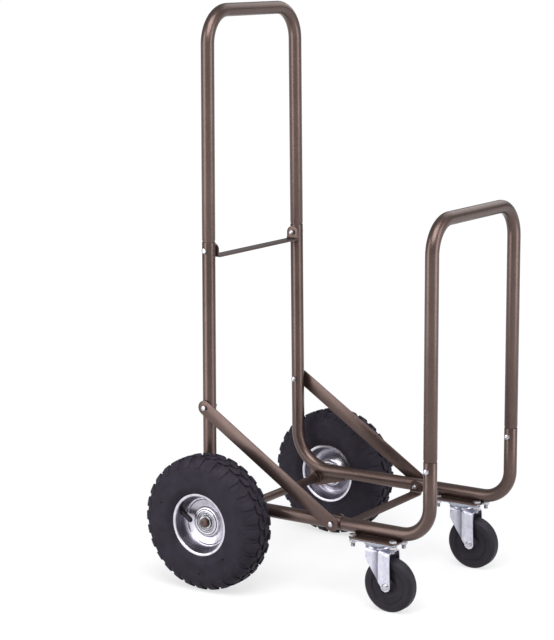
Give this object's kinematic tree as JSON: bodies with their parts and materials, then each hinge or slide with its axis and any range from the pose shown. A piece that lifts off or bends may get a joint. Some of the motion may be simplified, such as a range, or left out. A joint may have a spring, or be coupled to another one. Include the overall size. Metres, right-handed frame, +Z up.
{
  "type": "fireside log cart",
  "caption": "Upright tube-frame log cart with a tall handle hoop, a low front hoop, pneumatic rear wheels and swivel front casters.",
  "frame": {"origin": "on the floor, under the middle of the cart's bounding box", "axes": "+Z up; +X across the cart, to the right of someone who stands in front of the low hoop and looks at the cart; +Y from the low front hoop towards the tall handle"},
  "size_m": [0.52, 0.5749, 1.08],
  "materials": {
    "brown_paint": "satin brown powder coat",
    "zinc_bolts": "bright zinc plate",
    "zinc_rim": "bright zinc-plated pressed steel",
    "zinc_caster": "bluish zinc-plated pressed steel",
    "bearing_steel": "ground steel",
    "tyre_rubber": "matt moulded black rubber",
    "butyl_rubber": "smooth black rubber",
    "solid_rubber": "satin black rubber",
    "black_plastic": "moulded black plastic"
  },
  "bodies": {
    "cart_frame": {"handle_hoop": "brown_paint", "front_hoop": "brown_paint", "rear_frame_right": "brown_paint", "rear_frame_left": "brown_paint", "front_frame_right": "brown_paint", "front_frame_left": "brown_paint", "strut_right": "brown_paint", "strut_left": "brown_paint", "handle_cross_bar": "brown_paint", "rail_cross_bar": "brown_paint", "handle_bolt_right": "zinc_bolts", "handle_bolt_left": "zinc_bolts", "strut_bolt_right": "zinc_bolts", "strut_bolt_left": "zinc_bolts", "rail_bolt_right": "zinc_bolts", "rail_bolt_left": "zinc_bolts", "front_hoop_bolt_right": "zinc_bolts", "front_hoop_bolt_left": "zinc_bolts", "axle": "brown_paint", "axle_bracket_right": "brown_paint", "axle_bracket_left": "brown_paint", "axle_washer_right": "zinc_bolts", "axle_washer_left": "zinc_bolts", "split_pin_right": "zinc_bolts", "split_pin_left": "zinc_bolts", "caster_mount_right": "brown_paint", "caster_mount_left": "brown_paint", "caster_plate_right": "zinc_caster", "caster_plate_left": "zinc_caster", "mount_bolt_right_1": "zinc_bolts", "mount_bolt_left_1": "zinc_bolts", "mount_bolt_right_2": "zinc_bolts", "mount_bolt_left_2": "zinc_bolts", "mount_bolt_right_3": "zinc_bolts", "mount_bolt_left_3": "zinc_bolts", "mount_bolt_right_4": "zinc_bolts", "mount_bolt_left_4": "zinc_bolts"},
    "big_wheel_right": {"tyre_right": "tyre_rubber", "inner_tube_right": "butyl_rubber", "outboard_rim_right": "zinc_rim", "inboard_rim_right": "zinc_rim", "wheel_hub_right": "zinc_rim", "outboard_bearing_right": "bearing_steel", "inboard_bearing_right": "bearing_steel"},
    "big_wheel_left": {"tyre_left": "tyre_rubber", "inner_tube_left": "butyl_rubber", "outboard_rim_left": "zinc_rim", "inboard_rim_left": "zinc_rim", "wheel_hub_left": "zinc_rim", "outboard_bearing_left": "bearing_steel", "inboard_bearing_left": "bearing_steel"},
    "caster_swivel_right": {"caster_fork_right": "zinc_caster", "caster_axle_right": "zinc_bolts"},
    "caster_swivel_left": {"caster_fork_left": "zinc_caster", "caster_axle_left": "zinc_bolts"},
    "caster_wheel_right": {"caster_tyre_right": "solid_rubber", "caster_core_right": "black_plastic"},
    "caster_wheel_left": {"caster_tyre_left": "solid_rubber", "caster_core_left": "black_plastic"}
  },
  "joints": [
    {"name": "big_wheel_right_spin", "type": "hinge", "parent": "cart_frame", "child": "big_wheel_right", "pos_m": [0.222, 0.1595, 0.128], "axis": [1, 0, 0], "continuous": true},
    {"name": "big_wheel_left_spin", "type": "hinge", "parent": "cart_frame", "child": "big_wheel_left", "pos_m": [-0.222, 0.1595, 0.128], "axis": [1, 0, 0], "continuous": true},
    {"name": "caster_right_swivel", "type": "hinge", "parent": "cart_frame", "child": "caster_swivel_right", "pos_m": [0.157, -0.171, 0.118], "axis": [0, 0, 1], "continuous": true},
    {"name": "caster_left_swivel", "type": "hinge", "parent": "cart_frame", "child": "caster_swivel_left", "pos_m": [-0.157, -0.171, 0.118], "axis": [0, 0, 1], "continuous": true},
    {"name": "caster_right_roll", "type": "hinge", "parent": "caster_swivel_right", "child": "caster_wheel_right", "pos_m": [0.157, -0.197, 0.05], "axis": [1, 0, 0], "continuous": true},
    {"name": "caster_left_roll", "type": "hinge", "parent": "caster_swivel_left", "child": "caster_wheel_left", "pos_m": [-0.157, -0.197, 0.05], "axis": [1, 0, 0], "continuous": true}
  ]
}
